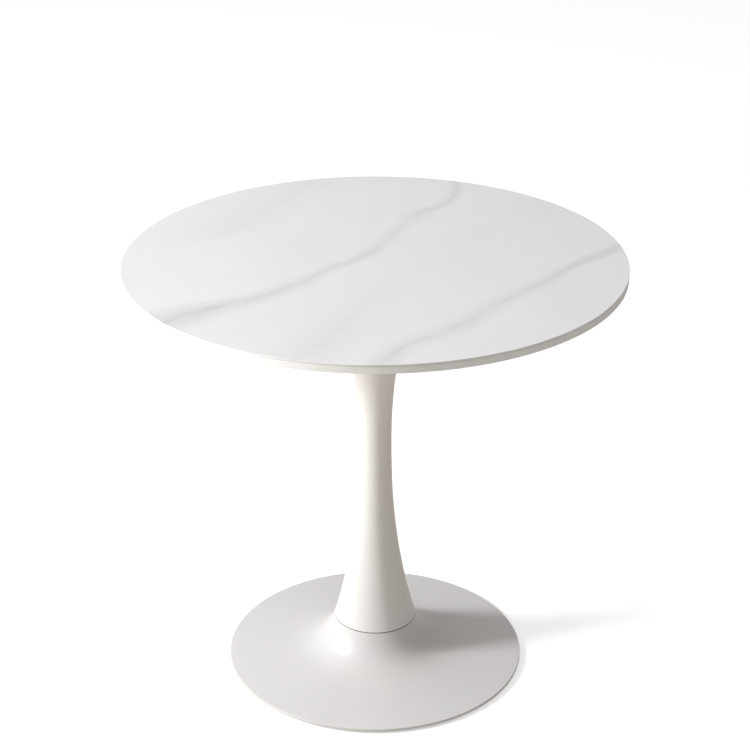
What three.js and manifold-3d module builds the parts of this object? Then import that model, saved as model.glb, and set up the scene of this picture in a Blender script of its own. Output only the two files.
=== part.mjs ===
// A round pedestal dining table: a thin stone-faced top on a trumpet column and a flared steel base.
// The parts are clamped on one axis by a tie rod: it screws into a nut welded under the top's steel
// plate, runs down inside the column, and is tightened under the iron weight inside the base.
// Units are millimetres. +Z is up, and the origin is on the floor, on the table's axis.
import * as THREE from "three";
import { mergeVertices } from "three/addons/utils/BufferGeometryUtils.js";
import Module from "manifold-3d";

// Overall sizes
const TABLE_HEIGHT = 725;
const TOP_DIAMETER = 800;
const BASE_DIAMETER = 500;

// Top: a stone slab bonded to a board, with a banded edge and a balancing sheet underneath
const SLAB_THICKNESS = 3;
const SLAB_OVERHANG = 0.4;
const SLAB_CHAMFER = 0.6;
const BOARD_THICKNESS = 10;
const BACKING_THICKNESS = 0.8;
const BAND_THICKNESS = 1.5;
const BAND_CHAMFER = 0.8;
const GLUE_LINE = 0.3;

// Steel plate under the top, and its screws
const PLATE_DIAMETER = 280;
const PLATE_THICKNESS = 4;
const PLATE_SCREWS = 6;
const PLATE_SCREW_EDGE = 25;
const SCREW_RADIUS = 3;
const SCREW_HEAD_RADIUS = 6;
const SCREW_HEAD_CROWN = 4.5;
const SCREW_HEAD_HEIGHT = 3.2;
const SCREW_END_SHORT = 1.2;
const INSERT_WALL = 1.7;
const INSERT_LENGTH = 8.6;
const COLLAR_HEIGHT = 14;
const COLLAR_WALL = 3;

// Column
const COLUMN_HEAD_RADIUS = 75;
const COLUMN_WAIST_RADIUS = 27.4;
const COLUMN_WAIST_HEIGHT = 410;
const COLUMN_FOOT_RADIUS = 69;
const COLUMN_WALL = 2.5;
const HEAD_FLARE_POWER = 2.1;
const FOOT_FLARE_POWER = 2.3;
const GASKET_THICKNESS = 1;
const GASKET_SETBACK = 1;
const DISC_THICKNESS = 4;
const HEAD_DISC_DROP = 12;

// Base shell
const RIM_HEIGHT = 8;
const LIP_CLEARANCE = 3.5;
const SHELL_THICKNESS = 3;
const NECK_HEIGHT = 75;
const SKIRT_SLOPE = 0.1;
const NECK_FLARE_POWER = 8;
const NECK_HOLE_RADIUS = 40;
const SPIGOT_SHORT = 0.5;
const RING_WIDTH = 12;
const RING_INSET = 8;

// Iron weight inside the base, and the clamp under it
const WEIGHT_BOTTOM = 10;
const WEIGHT_GAP = 1;
const WEIGHT_TO_GLIDES = 50;
const ROD_END_RECESS = 5;
const ROD_RADIUS = 6;
const ROD_NUT_FLATS = 19;
const ROD_NUT_HEIGHT = 10;
const WELD_NUT_HEIGHT = 18;
const WASHER_RADIUS = 18;
const WASHER_THICKNESS = 2.5;
const SPRING_WASHER_WIDTH = 4;
const SPRING_WASHER_THICKNESS = 2.5;
const ROD_STICK_OUT = 3;

// Adjustable glides near the rim: a stud that turns in a welded nut, with a pad clipped on its foot
const GLIDES = 4;
const GLIDE_INSET = 60;
const STUD_RADIUS = 4;
const STUD_NUT_FLATS = 13;
const STUD_END_SHORT = 0.4;
const STUD_FOOT_FLANGE = 1;
const STUD_FOOT_THICKNESS = 0.5;
const KEY_FLATS = 4;
const KEY_DEPTH = 3;
const PAD_RADIUS = 14;
const PAD_LIFT = 1;
const PAD_FLOOR = 0.7;
const PAD_LIP = 0.6;
const PAD_CHAMFER = 0.5;

// Clearances
const SEAT_GAP = 0.3;
const SIDE_GAP = 0.3;
const HOLE_CLEARANCE = 0.4;
const COLLAR_CLEARANCE = 0.6;

// Facets of a full turn, by size of piece
const WIDE = 64;
const MIDDLE = 36;
const SMALL = 12;
const POINT_CROWDING = 1.6;

// Radii and heights that follow from the sizes above
const TOP_RADIUS = TOP_DIAMETER / 2;
const BASE_RADIUS = BASE_DIAMETER / 2;
const BAND_RADIUS = TOP_RADIUS - SLAB_OVERHANG;
const BOARD_RADIUS = BAND_RADIUS - BAND_THICKNESS - SIDE_GAP;
const SLAB_Z = TABLE_HEIGHT - SLAB_THICKNESS;
const BOARD_Z = SLAB_Z - GLUE_LINE - BOARD_THICKNESS;
const BACKING_Z = BOARD_Z - GLUE_LINE - BACKING_THICKNESS;
const PLATE_Z = BACKING_Z - SEAT_GAP - PLATE_THICKNESS;
const HEAD_GASKET_Z = PLATE_Z - SEAT_GAP - GASKET_THICKNESS;
const COLUMN_TOP = HEAD_GASKET_Z - SEAT_GAP;
const NECK_GASKET_Z = NECK_HEIGHT + SEAT_GAP;
const COLUMN_BOTTOM = NECK_GASKET_Z + GASKET_THICKNESS + SEAT_GAP;
const LIP_RADIUS = BASE_RADIUS - SHELL_THICKNESS;
const ROD_HOLE_RADIUS = ROD_RADIUS + HOLE_CLEARANCE;
const ROD_BOTTOM = WEIGHT_BOTTOM + ROD_END_RECESS;
const ROD_NUT_Z = ROD_BOTTOM + ROD_STICK_OUT;
const SPRING_WASHER_Z = ROD_NUT_Z + ROD_NUT_HEIGHT + SEAT_GAP;
const WASHER_Z = SPRING_WASHER_Z + SPRING_WASHER_THICKNESS + SEAT_GAP;
const CHAMBER_TOP = WASHER_Z + WASHER_THICKNESS + SEAT_GAP;
const CHAMBER_RADIUS = WASHER_RADIUS + HOLE_CLEARANCE;
const WELD_NUT_Z = PLATE_Z - SEAT_GAP - WELD_NUT_HEIGHT;
const GLIDE_CIRCLE_RADIUS = BASE_RADIUS - GLIDE_INSET;
const WEIGHT_RADIUS = GLIDE_CIRCLE_RADIUS - STUD_NUT_FLATS / Math.sqrt(3) - WEIGHT_TO_GLIDES;

// Materials
const stone = new THREE.MeshStandardMaterial({ color: 0xecebea, roughness: 0.35, metalness: 0 });
const board = new THREE.MeshStandardMaterial({ color: 0xb08d63, roughness: 0.9, metalness: 0 });
const edging = new THREE.MeshStandardMaterial({ color: 0xe6e5df, roughness: 0.45, metalness: 0 });
const whitePaint = new THREE.MeshStandardMaterial({ color: 0xf0efec, roughness: 0.35, metalness: 0 });
const zincSteel = new THREE.MeshStandardMaterial({ color: 0xb9bcc0, roughness: 0.35, metalness: 1 });
const brass = new THREE.MeshStandardMaterial({ color: 0xc9a45a, roughness: 0.4, metalness: 1 });
const iron = new THREE.MeshStandardMaterial({ color: 0x3b3d40, roughness: 0.75, metalness: 0.4 });
const rubber = new THREE.MeshStandardMaterial({ color: 0x55534f, roughness: 0.85, metalness: 0 });
const nylon = new THREE.MeshStandardMaterial({ color: 0x2b2b2c, roughness: 0.55, metalness: 0 });

const wasm = await Module();
wasm.setup();

// A geometry as a manifold-3d solid, its shared vertices merged.
function solidOf(geometry) {
  const bare = geometry.index ? geometry.toNonIndexed() : geometry.clone();
  bare.deleteAttribute("normal");
  bare.deleteAttribute("uv");
  const merged = mergeVertices(bare, 1e-3);
  const vertProperties = merged.attributes.position.array;
  const triVerts = new Uint32Array(merged.index.array);
  return new wasm.Manifold(new wasm.Mesh({ numProp: 3, vertProperties, triVerts }));
}

// A manifold-3d solid as a geometry.
function geometryOf(solid) {
  const made = solid.getMesh();
  const geometry = new THREE.BufferGeometry();
  geometry.setAttribute("position", new THREE.BufferAttribute(made.vertProperties, 3));
  geometry.setIndex(new THREE.BufferAttribute(made.triVerts, 1));
  geometry.computeVertexNormals();
  return geometry;
}

// The geometry that is left when the cutters are taken out of a blank.
function cut(blank, cutters) {
  const left = cutters.reduce((solid, cutter) => solid.subtract(solidOf(cutter)), solidOf(blank));
  return geometryOf(left);
}

// A turned piece: an outline of [radius, height] pairs, anticlockwise from its lowest inner point.
function turned(outline, facets) {
  const points = outline.map(([r, z]) => new THREE.Vector2(r, z));
  return new THREE.LatheGeometry(points, facets).rotateX(Math.PI / 2);
}

// A turned ring or tube, whose outline closes on itself.
function turnedRing(outline, facets) {
  return turned([...outline, outline[0]], facets);
}

// A flat ring with square edges, from its inner to its outer radius.
function flatRing(inner, outer, bottom, thickness, facets) {
  const top = bottom + thickness;
  return turnedRing([[inner, bottom], [outer, bottom], [outer, top], [inner, top]], facets);
}

// A solid cylinder that stands on a height.
function rod(radius, bottom, top, facets) {
  return turned([[0, bottom], [radius, bottom], [radius, top], [0, top]], facets);
}

// A regular polygon of points round a centre.
function polygon(radius, sides, x = 0, y = 0) {
  const corner = (i) => {
    const angle = (2 * Math.PI * i) / sides;
    return new THREE.Vector2(x + radius * Math.cos(angle), y + radius * Math.sin(angle));
  };
  return Array.from({ length: sides }, (_, i) => corner(i));
}

// A flat outline raised from a height.
function extruded(shape, bottom, height) {
  return new THREE.ExtrudeGeometry(shape, { depth: height, bevelEnabled: false }).translate(0, 0, bottom);
}

// A hexagonal nut with a plain round bore.
function nut(flats, bore, bottom, height) {
  const shape = new THREE.Shape(polygon(flats / Math.sqrt(3), 6));
  shape.holes.push(new THREE.Path(polygon(bore, SMALL)));
  return extruded(shape, bottom, height);
}

// Places on a circle, as {x, y, angle}.
function circlePlaces(count, radius, firstAngle) {
  return Array.from({ length: count }, (_, i) => {
    const angle = firstAngle + (2 * Math.PI * i) / count;
    return { x: radius * Math.cos(angle), y: radius * Math.sin(angle), angle };
  });
}

const screwPlaces = circlePlaces(PLATE_SCREWS, PLATE_DIAMETER / 2 - PLATE_SCREW_EDGE, Math.PI / 6);
const glidePlaces = circlePlaces(GLIDES, GLIDE_CIRCLE_RADIUS, Math.PI / 4);

// A flat disc with the same round hole at each place, and perhaps one on its axis.
function drilledDisc(radius, bottom, thickness, places, holeRadius, axisHoleRadius, facets) {
  const shape = new THREE.Shape(polygon(radius, facets));
  places.forEach(({ x, y }) => shape.holes.push(new THREE.Path(polygon(holeRadius, SMALL, x, y))));
  if (axisHoleRadius) shape.holes.push(new THREE.Path(polygon(axisHoleRadius, SMALL)));
  return extruded(shape, bottom, thickness);
}

// The column's outer radius at a height: a waist that flares to the foot and to the head.
function columnRadius(z) {
  const flare = (radius, end, power) => {
    const share = (z - COLUMN_WAIST_HEIGHT) / (end - COLUMN_WAIST_HEIGHT);
    return COLUMN_WAIST_RADIUS + (radius - COLUMN_WAIST_RADIUS) * share ** power;
  };
  return z < COLUMN_WAIST_HEIGHT
    ? flare(COLUMN_FOOT_RADIUS, COLUMN_BOTTOM, FOOT_FLARE_POWER)
    : flare(COLUMN_HEAD_RADIUS, COLUMN_TOP, HEAD_FLARE_POWER);
}

// The widest round piece that clears the column's inside between two heights.
function radiusInsideColumn(bottom, top) {
  return Math.min(columnRadius(bottom), columnRadius(top)) - COLUMN_WALL;
}

// The base shell's upper surface: a skirt of even slope that sweeps up into the neck.
const FLARE_WIDTH = BASE_RADIUS - COLUMN_FOOT_RADIUS;
const FLARE_RISE = NECK_HEIGHT - RIM_HEIGHT - SKIRT_SLOPE * FLARE_WIDTH;

function shellHeight(r) {
  const share = (BASE_RADIUS - r) / FLARE_WIDTH;
  return RIM_HEIGHT + SKIRT_SLOPE * (BASE_RADIUS - r) + FLARE_RISE * share ** NECK_FLARE_POWER;
}

function shellSlope(r) {
  const share = (BASE_RADIUS - r) / FLARE_WIDTH;
  const flareSlope = (FLARE_RISE / FLARE_WIDTH) * NECK_FLARE_POWER * share ** (NECK_FLARE_POWER - 1);
  return -SKIRT_SLOPE - flareSlope;
}

// Points of the shell's surface, sunk along its normal, from one radius out to another.
// They are set closer together near the neck, where the surface bends most.
function shellPoints(from, to, steps, sink) {
  return Array.from({ length: steps + 1 }, (_, i) => {
    const r = from + (to - from) * (i / steps) ** POINT_CROWDING;
    const slope = shellSlope(r);
    const length = Math.hypot(1, slope);
    return [r + (sink * slope) / length, shellHeight(r) - sink / length];
  });
}

// The same points below a ceiling: those above it are dropped, and the first left is on the ceiling.
function shellPointsBelow(ceiling, to, steps, sink) {
  const points = shellPoints(COLUMN_FOOT_RADIUS, to, steps, sink);
  const first = points.findIndex(([, z]) => z < ceiling);
  const [above, below] = [points[first - 1] ?? points[first], points[first]];
  const share = above === below ? 0 : (above[1] - ceiling) / (above[1] - below[1]);
  const meet = [above[0] + (below[0] - above[0]) * share, ceiling];
  return [meet, ...points.slice(first)];
}

// Height of the shell's underside at a radius.
function undersideHeight(r) {
  return shellHeight(r) - SHELL_THICKNESS * Math.hypot(1, SKIRT_SLOPE);
}

const table = new THREE.Group();

function add(name, geometry, material, place) {
  const mesh = new THREE.Mesh(geometry, material);
  mesh.name = name;
  if (place) mesh.position.set(place.x, place.y, 0);
  table.add(mesh);
}

// Top
function slab() {
  const [bottom, top, edge] = [SLAB_Z, TABLE_HEIGHT, TOP_RADIUS];
  const inset = edge - SLAB_CHAMFER;
  return turned(
    [
      [0, bottom],
      [inset, bottom],
      [edge, bottom + SLAB_CHAMFER],
      [edge, top - SLAB_CHAMFER],
      [inset, top],
      [0, top],
    ],
    WIDE,
  );
}

function edgeBand() {
  const [inner, outer] = [BAND_RADIUS - BAND_THICKNESS, BAND_RADIUS];
  const [bottom, top] = [BACKING_Z, SLAB_Z - GLUE_LINE];
  return turnedRing(
    [
      [inner, bottom],
      [outer - BAND_CHAMFER, bottom],
      [outer, bottom + BAND_CHAMFER],
      [outer, top - BAND_CHAMFER],
      [outer - BAND_CHAMFER, top],
      [inner, top],
    ],
    WIDE,
  );
}

const insertRadius = SCREW_RADIUS + SIDE_GAP + INSERT_WALL;
const insertHoleRadius = insertRadius + SIDE_GAP;
const insertHoles = screwPlaces.map(({ x, y }) =>
  rod(insertHoleRadius, BACKING_Z, BACKING_Z + INSERT_LENGTH + HOLE_CLEARANCE, SMALL).translate(x, y, 0),
);
const boardBlank = rod(BOARD_RADIUS, BOARD_Z, BOARD_Z + BOARD_THICKNESS, WIDE);

add("top_slab", slab(), stone);
add("core_board", cut(boardBlank, insertHoles), board);
add("edge_band", edgeBand(), edging);
add(
  "backing_sheet",
  drilledDisc(BOARD_RADIUS, BACKING_Z, BACKING_THICKNESS, screwPlaces, insertHoleRadius, 0, WIDE),
  edging,
);

// Steel plate, its welded collar and nut, and its screws
const collarZ = PLATE_Z - SEAT_GAP - COLLAR_HEIGHT;
const collarRadius = radiusInsideColumn(collarZ, COLUMN_TOP) - COLLAR_CLEARANCE;
add(
  "top_plate",
  drilledDisc(
    PLATE_DIAMETER / 2, PLATE_Z, PLATE_THICKNESS, screwPlaces,
    SCREW_RADIUS + HOLE_CLEARANCE, ROD_HOLE_RADIUS, MIDDLE,
  ),
  whitePaint,
);
add(
  "plate_collar",
  flatRing(collarRadius - COLLAR_WALL, collarRadius, collarZ, COLLAR_HEIGHT, MIDDLE),
  whitePaint,
);
add("rod_weld_nut", nut(ROD_NUT_FLATS, ROD_HOLE_RADIUS, WELD_NUT_Z, WELD_NUT_HEIGHT), zincSteel);

// A button-head screw from under the plate, its end short of the top of its threaded insert.
function plateScrew() {
  const headTop = PLATE_Z - SEAT_GAP;
  const headBottom = headTop - SCREW_HEAD_HEIGHT;
  const end = BACKING_Z + INSERT_LENGTH - SCREW_END_SHORT;
  return turned(
    [
      [0, headBottom],
      [SCREW_HEAD_CROWN, headBottom],
      [SCREW_HEAD_RADIUS, headBottom + SCREW_HEAD_HEIGHT / 2],
      [SCREW_HEAD_RADIUS, headTop],
      [SCREW_RADIUS, headTop],
      [SCREW_RADIUS, end],
      [0, end],
    ],
    SMALL,
  );
}

screwPlaces.forEach((place, i) => {
  add(`plate_screw_${i + 1}`, plateScrew(), zincSteel, place);
  add(
    `thread_insert_${i + 1}`,
    flatRing(SCREW_RADIUS + SIDE_GAP, insertRadius, BACKING_Z, INSERT_LENGTH, SMALL),
    brass,
    place,
  );
});

// Column
function columnShell() {
  const [steps, innerSteps] = [14, 8];
  const heightAt = (i, n) => COLUMN_BOTTOM + (COLUMN_TOP - COLUMN_BOTTOM) * (i / n);
  const outside = Array.from({ length: steps + 1 }, (_, i) => {
    const z = heightAt(i, steps);
    return [columnRadius(z), z];
  });
  const inside = Array.from({ length: innerSteps + 1 }, (_, i) => {
    const z = heightAt(innerSteps - i, innerSteps);
    return [columnRadius(z) - COLUMN_WALL, z];
  });
  return turnedRing([...outside, ...inside], MIDDLE);
}

const headDiscZ = WELD_NUT_Z - HEAD_DISC_DROP - DISC_THICKNESS;
const headDiscRadius = radiusInsideColumn(headDiscZ, headDiscZ + DISC_THICKNESS) - COLLAR_CLEARANCE;
const footDiscZ = NECK_HEIGHT + SEAT_GAP;
const footDiscTop = COLUMN_BOTTOM + DISC_THICKNESS;
const footDiscRadius = radiusInsideColumn(footDiscZ, footDiscTop) - COLLAR_CLEARANCE;

// The disc in the column's foot, with a boss that locates in the neck's hole.
function footDisc() {
  const bossRadius = NECK_HOLE_RADIUS - HOLE_CLEARANCE;
  const bossZ = NECK_HEIGHT - SHELL_THICKNESS + SPIGOT_SHORT;
  return turnedRing(
    [
      [ROD_HOLE_RADIUS, bossZ],
      [bossRadius, bossZ],
      [bossRadius, footDiscZ],
      [footDiscRadius, footDiscZ],
      [footDiscRadius, footDiscTop],
      [ROD_HOLE_RADIUS, footDiscTop],
    ],
    MIDDLE,
  );
}

// A gasket under one end of the column, round the collar or disc inside it.
function gasket(insideRadius, columnEndRadius, bottom) {
  const inner = insideRadius + COLLAR_CLEARANCE;
  return flatRing(inner, columnEndRadius - GASKET_SETBACK, bottom, GASKET_THICKNESS, MIDDLE);
}

add("head_gasket", gasket(collarRadius, COLUMN_HEAD_RADIUS, HEAD_GASKET_Z), rubber);
add("column_shell", columnShell(), whitePaint);
add(
  "column_head_disc",
  flatRing(ROD_HOLE_RADIUS, headDiscRadius, headDiscZ, DISC_THICKNESS, MIDDLE),
  zincSteel,
);
add("column_foot_disc", footDisc(), zincSteel);
add("neck_gasket", gasket(footDiscRadius, COLUMN_FOOT_RADIUS, NECK_GASKET_Z), rubber);
add("tie_rod", rod(ROD_RADIUS, ROD_BOTTOM, PLATE_Z - SEAT_GAP, SMALL), zincSteel);

// Base
// The shell's edge is turned down in a lip, and the ring that stands on the floor is inside it.
function baseShell() {
  const flangeBottom = NECK_HEIGHT - SHELL_THICKNESS;
  const outside = shellPoints(COLUMN_FOOT_RADIUS, BASE_RADIUS, 11, 0);
  const inside = shellPointsBelow(flangeBottom, BASE_RADIUS, 8, SHELL_THICKNESS);
  inside.pop();
  return turnedRing(
    [
      [NECK_HOLE_RADIUS, flangeBottom],
      ...inside,
      [LIP_RADIUS, undersideHeight(LIP_RADIUS)],
      [LIP_RADIUS, LIP_CLEARANCE],
      [BASE_RADIUS, LIP_CLEARANCE],
      ...outside.reverse(),
      [NECK_HOLE_RADIUS, NECK_HEIGHT],
    ],
    WIDE,
  );
}

// The iron weight fills the bell and bears on the neck's flange. The clamp is in a chamber below.
function baseWeight() {
  const ceiling = NECK_HEIGHT - SHELL_THICKNESS - SEAT_GAP;
  const sink = SHELL_THICKNESS + WEIGHT_GAP;
  const outside = shellPointsBelow(ceiling, WEIGHT_RADIUS, 7, sink);
  return turnedRing(
    [
      [CHAMBER_RADIUS, WEIGHT_BOTTOM],
      [outside[outside.length - 1][0], WEIGHT_BOTTOM],
      ...outside.reverse(),
      [ROD_HOLE_RADIUS, ceiling],
      [ROD_HOLE_RADIUS, CHAMBER_TOP],
      [CHAMBER_RADIUS, CHAMBER_TOP],
    ],
    MIDDLE,
  );
}

// The rubber ring that the table stands on, shaped to the shell's underside.
function floorRing() {
  const outer = BASE_RADIUS - RING_INSET;
  const inner = outer - RING_WIDTH;
  return turnedRing(
    [
      [inner, 0],
      [outer, 0],
      [outer, undersideHeight(outer) - SEAT_GAP],
      [inner, undersideHeight(inner) - SEAT_GAP],
    ],
    WIDE,
  );
}

add("base_shell", baseShell(), whitePaint);
add("base_weight", baseWeight(), iron);
add("floor_ring", floorRing(), rubber);
add(
  "clamp_washer",
  flatRing(ROD_HOLE_RADIUS, WASHER_RADIUS, WASHER_Z, WASHER_THICKNESS, MIDDLE),
  zincSteel,
);
add(
  "clamp_spring_washer",
  flatRing(
    ROD_HOLE_RADIUS, ROD_HOLE_RADIUS + SPRING_WASHER_WIDTH,
    SPRING_WASHER_Z, SPRING_WASHER_THICKNESS, SMALL,
  ),
  zincSteel,
);
add("clamp_nut", nut(ROD_NUT_FLATS, ROD_HOLE_RADIUS, ROD_NUT_Z, ROD_NUT_HEIGHT), zincSteel);

// Glides, from the pad's underside up to the shell's underside
const pocketZ = PAD_LIFT + PAD_FLOOR;
const studFootZ = pocketZ + SIDE_GAP;
const studFootTop = studFootZ + STUD_FOOT_THICKNESS;
const studFootRadius = STUD_RADIUS + STUD_FOOT_FLANGE;
const pocketTop = studFootTop + SIDE_GAP;
const padTop = pocketTop + PAD_LIP;
const studNutZ = padTop + SEAT_GAP;
const studNutTop = undersideHeight(GLIDE_CIRCLE_RADIUS + STUD_NUT_FLATS / Math.sqrt(3)) - SEAT_GAP;

// The stud, with a hexagonal key socket in its foot.
function glideStud() {
  const studTop = studNutTop - STUD_END_SHORT;
  const blank = turned(
    [
      [0, studFootZ],
      [studFootRadius, studFootZ],
      [studFootRadius, studFootTop],
      [STUD_RADIUS, studFootTop],
      [STUD_RADIUS, studTop],
      [0, studTop],
    ],
    SMALL,
  );
  const keyShape = new THREE.Shape(polygon(KEY_FLATS / Math.sqrt(3), 6));
  const overrun = 1;
  const socket = extruded(keyShape, studFootZ - overrun, KEY_DEPTH + overrun);
  return cut(blank, [socket]);
}

// The pad, which holds the stud's foot under a lip and leaves the key socket open from below.
function glidePad() {
  const keyHole = KEY_FLATS / Math.sqrt(3) + HOLE_CLEARANCE;
  const pocket = studFootRadius + SIDE_GAP;
  const lip = STUD_RADIUS + SIDE_GAP;
  return turnedRing(
    [
      [keyHole, PAD_LIFT],
      [PAD_RADIUS - PAD_CHAMFER, PAD_LIFT],
      [PAD_RADIUS, PAD_LIFT + PAD_CHAMFER],
      [PAD_RADIUS, padTop],
      [lip, padTop],
      [lip, pocketTop],
      [pocket, pocketTop],
      [pocket, pocketZ],
      [keyHole, pocketZ],
    ],
    SMALL,
  );
}

glidePlaces.forEach((place, i) => {
  const number = i + 1;
  const bore = STUD_RADIUS + SIDE_GAP;
  add(`glide_nut_${number}`, nut(STUD_NUT_FLATS, bore, studNutZ, studNutTop - studNutZ), zincSteel, place);
  add(`glide_stud_${number}`, glideStud(), zincSteel, place);
  add(`glide_pad_${number}`, glidePad(), nylon, place);
});

export default table;
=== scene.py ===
"""A white round pedestal table with a stone-faced top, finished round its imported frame."""
import functools
import math
import bpy
from bpy.props import FloatProperty, FloatVectorProperty, PointerProperty
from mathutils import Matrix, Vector
from mathutils.geometry import tessellate_polygon


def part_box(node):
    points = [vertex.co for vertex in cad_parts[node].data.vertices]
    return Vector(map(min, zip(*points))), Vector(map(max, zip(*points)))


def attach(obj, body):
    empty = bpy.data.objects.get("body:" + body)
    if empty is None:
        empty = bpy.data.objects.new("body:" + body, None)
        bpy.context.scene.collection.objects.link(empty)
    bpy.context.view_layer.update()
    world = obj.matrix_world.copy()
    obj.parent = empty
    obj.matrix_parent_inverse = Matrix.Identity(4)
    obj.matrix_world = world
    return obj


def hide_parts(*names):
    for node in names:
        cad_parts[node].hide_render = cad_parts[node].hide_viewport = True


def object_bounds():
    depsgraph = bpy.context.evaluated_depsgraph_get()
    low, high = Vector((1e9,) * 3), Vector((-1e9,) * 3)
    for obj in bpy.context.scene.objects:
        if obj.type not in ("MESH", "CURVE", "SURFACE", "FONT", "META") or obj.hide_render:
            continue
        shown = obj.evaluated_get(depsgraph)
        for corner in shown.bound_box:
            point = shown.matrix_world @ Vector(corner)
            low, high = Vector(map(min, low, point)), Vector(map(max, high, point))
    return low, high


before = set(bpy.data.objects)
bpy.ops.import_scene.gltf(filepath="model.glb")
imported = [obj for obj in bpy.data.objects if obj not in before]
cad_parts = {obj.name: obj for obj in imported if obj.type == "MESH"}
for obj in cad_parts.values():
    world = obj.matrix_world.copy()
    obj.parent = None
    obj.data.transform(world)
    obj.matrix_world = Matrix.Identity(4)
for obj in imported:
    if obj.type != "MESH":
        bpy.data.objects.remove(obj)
CAD_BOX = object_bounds()

bl_info = {
    "name": "Round pedestal table",
    "version": (1, 0, 0),
    "blender": (4, 5, 0),
    "location": "3D View > Sidebar > Table",
    "description": "Makes the finished pieces of a round pedestal table and a studio to see it in",
    "category": "Add Mesh",
}

MM = 0.001

# The column's and base's flares follow the solids, between the heights and radii of the frame.
WAIST_RADIUS = 27.4 * MM
WAIST_HEIGHT = 410 * MM
HEAD_FLARE_POWER = 2.1
FOOT_FLARE_POWER = 2.3
COLUMN_WALL = 2.5 * MM
SHELL_THICKNESS = 3 * MM
RIM_HEIGHT = 8 * MM
SKIRT_SLOPE = 0.1
NECK_FLARE_POWER = 8
NECK_HOLE_RADIUS = 40 * MM
WEIGHT_GAP = 1 * MM
CONTACT_GAP = 0.3 * MM

# M6, M8 and M12 threads: radius at the core and at the crest, and pitch
M6 = (2.5 * MM, 3 * MM, 1 * MM)
M8 = (3.4 * MM, 4 * MM, 1.25 * MM)
M12 = (5.1 * MM, 6 * MM, 1.75 * MM)

KEY_FLATS = 4 * MM
ROD_NUT_FLATS = 19 * MM
GLIDE_NUT_FLATS = 13 * MM

# Radii of holes
INSERT_HOLE = 5.3 * MM
SCREW_HOLE = 3.4 * MM
ROD_HOLE = 6.4 * MM
STUD_HOLE = 4.3 * MM

# How far edges are eased
BAND_ROUNDING = 0.8 * MM
SHEET_CHAMFER = 0.15 * MM
PLATE_CHAMFER = 0.6 * MM
GASKET_ROUNDING = 0.3 * MM
CAST_ROUNDING = 2.5 * MM
RING_ROUNDING = 0.7 * MM
WASHER_ROUNDING = 0.4 * MM
SPRING_ROUNDING = 0.3 * MM
PAD_ROUNDING = 0.5 * MM

# Facets of a full turn
WIDE = 256
MIDDLE = 160
FINE = 96
SMALL = 48


# Colours and nodes

NOISE = "ShaderNodeTexNoise"
RANGE = "ShaderNodeMapRange"
MIX = "ShaderNodeMix"
BUMP = "ShaderNodeBump"
MATHS = "ShaderNodeMath"
VECTOR_MATHS = "ShaderNodeVectorMath"

# The inputs of a mix of two colours
FACTOR = 0
FIRST = 6
SECOND = 7


def linear(hex_colour):
    """An sRGB hex colour as linear red, green and blue."""

    def channel(pair):
        value = int(pair, 16) / 255
        return value / 12.92 if value <= 0.04045 else ((value + 0.055) / 1.055) ** 2.4

    return tuple(channel(hex_colour[i : i + 2]) for i in (0, 2, 4))


def opaque(colour, factor=1.0):
    """A colour with full opacity, made darker or lighter by a factor."""
    return (*(min(1.0, channel * factor) for channel in colour), 1.0)


def per_mm(size):
    """The texture scale that repeats about once in a size in millimetres."""
    return 1 / (size * MM)


def add(tree, kind, inputs=None, **settings):
    """Adds a node, sets its own settings, and fills its inputs or links them to nodes or outputs."""
    made = tree.nodes.new(kind)
    for name, value in settings.items():
        setattr(made, name, value)
    for socket, value in (inputs or {}).items():
        if isinstance(value, bpy.types.Node):
            value = next(output for output in value.outputs if output.enabled)
        if isinstance(value, bpy.types.NodeSocket):
            tree.links.new(value, made.inputs[socket])
        else:
            made.inputs[socket].default_value = value
    return made


def emptied(owner):
    """The node tree of a material or a world, with nothing in it."""
    owner.use_nodes = True
    owner.node_tree.nodes.clear()
    return owner.node_tree


def new_material(name):
    """A material, its empty node tree, and the object's own coordinates in metres."""
    material = bpy.data.materials.new(name)
    tree = emptied(material)
    return material, tree, add(tree, "ShaderNodeTexCoord").outputs["Object"]


def finish_material(material, tree, **inputs):
    """Closes a material with its surface shader, whose inputs are named with _ for a space."""
    named = {name.replace("_", " "): value for name, value in inputs.items()}
    surface = add(tree, "ShaderNodeBsdfPrincipled", named)
    add(tree, "ShaderNodeOutputMaterial", {"Surface": surface})
    return material


# Veins of the stone face, each a route of (x, y, width, strength) in millimetres

VEINS = (
    (
        (-340, -280, 60, 1.0),
        (-300, -238, 54, 1.0),
        (-230, -189, 40, 0.9),
        (-189, -164, 30, 0.8),
        (-139, -123, 26, 0.6),
        (-57, -25, 18, 0.6),
        (-16, 16, 16, 0.75),
        (22, 90, 20, 0.4),
        (57, 180, 22, 0.4),
        (82, 221, 20, 0.55),
        (115, 254, 16, 0.65),
        (131, 287, 18, 0.6),
        (130, 400, 20, 0.7),
    ),
    (
        (0, -425, 30, 0.7),
        (12, -398, 30, 0.7),
        (33, -353, 26, 0.6),
        (57, -320, 28, 0.5),
        (90, -295, 30, 0.5),
        (123, -262, 30, 0.55),
        (190, -175, 22, 0.5),
        (255, -95, 20, 0.55),
        (320, -16, 16, 0.75),
        (344, 8, 16, 0.8),
        (394, 57, 18, 0.75),
        (425, 84, 18, 0.7),
    ),
    (
        (-130, -420, 60, 0.3),
        (-62, -300, 56, 0.34),
        (-25, -205, 44, 0.22),
        (30, -90, 36, 0.08),
        (80, 0, 30, 0.0),
    ),
    (
        (-330, 60, 40, 0.0),
        (-240, 140, 60, 0.14),
        (-165, 260, 60, 0.2),
        (-110, 390, 50, 0.22),
    ),
)

# A vein's route strays this far from a straight line at most, and is this wide at most
VEIN_REACH = 120 * MM
VEIN_WIDEST = 100 * MM

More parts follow.
